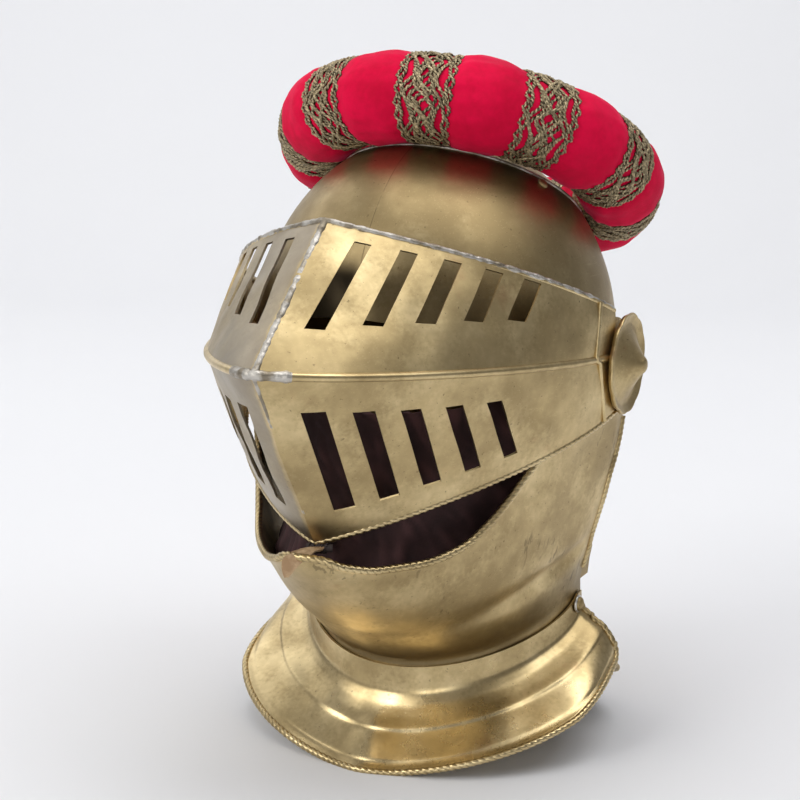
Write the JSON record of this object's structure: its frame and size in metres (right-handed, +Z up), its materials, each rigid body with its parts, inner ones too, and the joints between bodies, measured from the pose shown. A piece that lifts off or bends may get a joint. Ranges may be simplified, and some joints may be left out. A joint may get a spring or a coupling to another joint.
{
  "type": "armet",
  "caption": "Brass close helmet with a pointed slotted visor, hinged bevor, flared neck plates and a padded cloth wreath banded with metallic lace.",
  "frame": {"origin": "centre of the bounding box on the floor that the neck plates' rims stand on", "axes": "+Z up through the crown, -Y out of the face along the visor's beak, +X to the wearer's left"},
  "size_m": [0.2386, 0.3438, 0.3715],
  "materials": {
    "brass": "satin, worn and patinated",
    "wreath_cloth": "crimson napped cloth over padding",
    "lace": "tarnished metallic braid",
    "lining_cloth": "dark burgundy cloth",
    "leather": "undyed, matt"
  },
  "bodies": {
    "skull": {"skull_bowl": "brass", "skull_crown": "brass", "gorget_rear": "brass", "rosette_left": "brass", "pivot_nut_left": "brass", "nape_rivet_left": "brass", "rosette_right": "brass", "pivot_nut_right": "brass", "nape_rivet_right": "brass", "crown_rivet_1": "brass", "crown_rivet_2": "brass", "crown_rivet_3": "brass", "crown_rivet_4": "brass", "wreath": "wreath_cloth", "lace_1": "lace", "lace_2": "lace", "lace_3": "lace", "lace_4": "lace", "lace_5": "lace", "lace_6": "lace", "lace_7": "lace", "lace_8": "lace", "lace_9": "lace", "lace_10": "lace"},
    "bevor": {"bevor": "brass", "gorget_front": "brass", "neck_washer_left": "brass", "neck_washer_right": "brass", "neck_rivet_left": "brass", "neck_rivet_right": "brass", "catch_strip_left": "brass", "catch_strip_right": "brass", "lining": "lining_cloth"},
    "visor": {"visor": "brass", "beak_tab": "leather"}
  },
  "joints": [
    {"name": "bevor_hinge", "type": "hinge", "parent": "skull", "child": "bevor", "pos_m": [0, 0.03465, 0.212], "axis": [-1, 0, 0], "range_deg": [0, 14]},
    {"name": "visor_hinge", "type": "hinge", "parent": "bevor", "child": "visor", "pos_m": [0, 0.03465, 0.212], "axis": [-1, 0, 0], "range_deg": [0, 20]}
  ]
}
